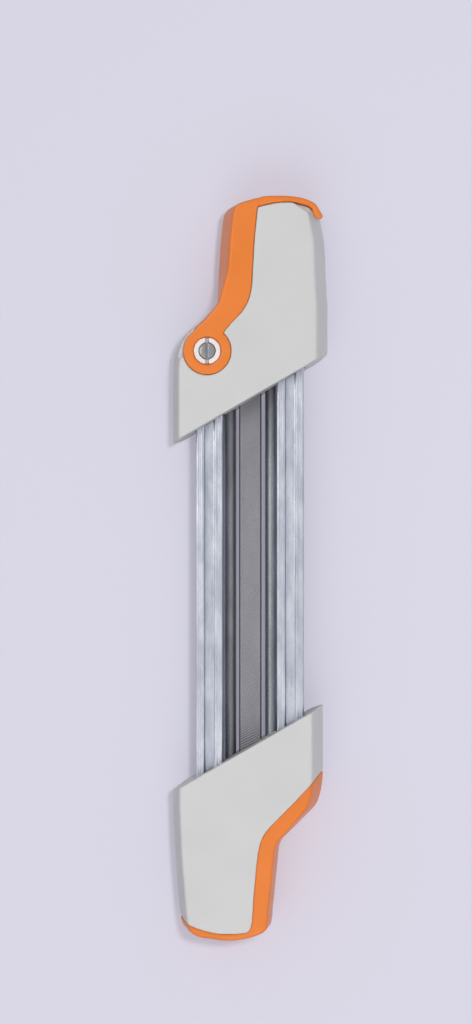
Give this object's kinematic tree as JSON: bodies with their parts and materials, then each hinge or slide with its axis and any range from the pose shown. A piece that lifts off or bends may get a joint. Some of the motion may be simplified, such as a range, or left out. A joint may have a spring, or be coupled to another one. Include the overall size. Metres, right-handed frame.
{
  "type": "chainsaw file guide",
  "caption": "Two-handled file guide: round and flat files held between aluminium rails, with slanted handle faces at the filing angle and a swinging latch that frees the files.",
  "frame": {"origin": "centre of the tool's outline, on the plane of its back faces", "axes": "+Y along the files towards the handle with the latch, +X to the right seen from the front, +Z from the back face to the front face"},
  "size_m": [0.0652, 0.3104, 0.03],
  "materials": {
    "grey_abs": "fine moulded grain",
    "orange_plastic": "moulded, satin",
    "white_plastic": "moulded",
    "black_plastic": "moulded",
    "rubber": "plain",
    "rail_aluminium": "extruded, clear anodised",
    "round_file_steel": "fine spiral cut",
    "flat_file_steel": "single cut",
    "plated_steel": "zinc plated"
  },
  "bodies": {
    "holder": {"upper_front_shell": "grey_abs", "upper_back_shell": "grey_abs", "lower_front_shell": "grey_abs", "lower_back_shell": "grey_abs", "lower_trim": "orange_plastic", "tang_socket": "black_plastic", "pivot_collar": "white_plastic", "rear_collar": "white_plastic", "pivot_screw": "plated_steel", "pivot_nut": "plated_steel", "left_rail": "rail_aluminium", "right_rail": "rail_aluminium", "flat_file": "flat_file_steel", "upper_short_rail_pin": "plated_steel", "upper_long_rail_pin": "plated_steel", "lower_short_rail_pin": "plated_steel", "lower_long_rail_pin": "plated_steel", "upper_screw_1": "plated_steel", "upper_screw_2": "plated_steel", "lower_screw_1": "plated_steel", "lower_screw_2": "plated_steel", "lower_screw_3": "plated_steel"},
    "latch": {"latch_lever": "orange_plastic", "file_end_pad": "rubber"},
    "left_file": {"left_round_file": "round_file_steel"},
    "right_file": {"right_round_file": "round_file_steel"}
  },
  "joints": [
    {"name": "latch_swing", "type": "hinge", "parent": "holder", "child": "latch", "pos_m": [-0.0175, 0.09065, 0.015], "axis": [0, 0, 1], "range_deg": [0, 70]},
    {"name": "left_file_turn", "type": "hinge", "parent": "holder", "child": "left_file", "pos_m": [-0.0087, 0, 0.01044], "axis": [0, 1, 0], "continuous": true},
    {"name": "right_file_turn", "type": "hinge", "parent": "holder", "child": "right_file", "pos_m": [0.0087, 0, 0.01044], "axis": [0, 1, 0], "continuous": true}
  ]
}
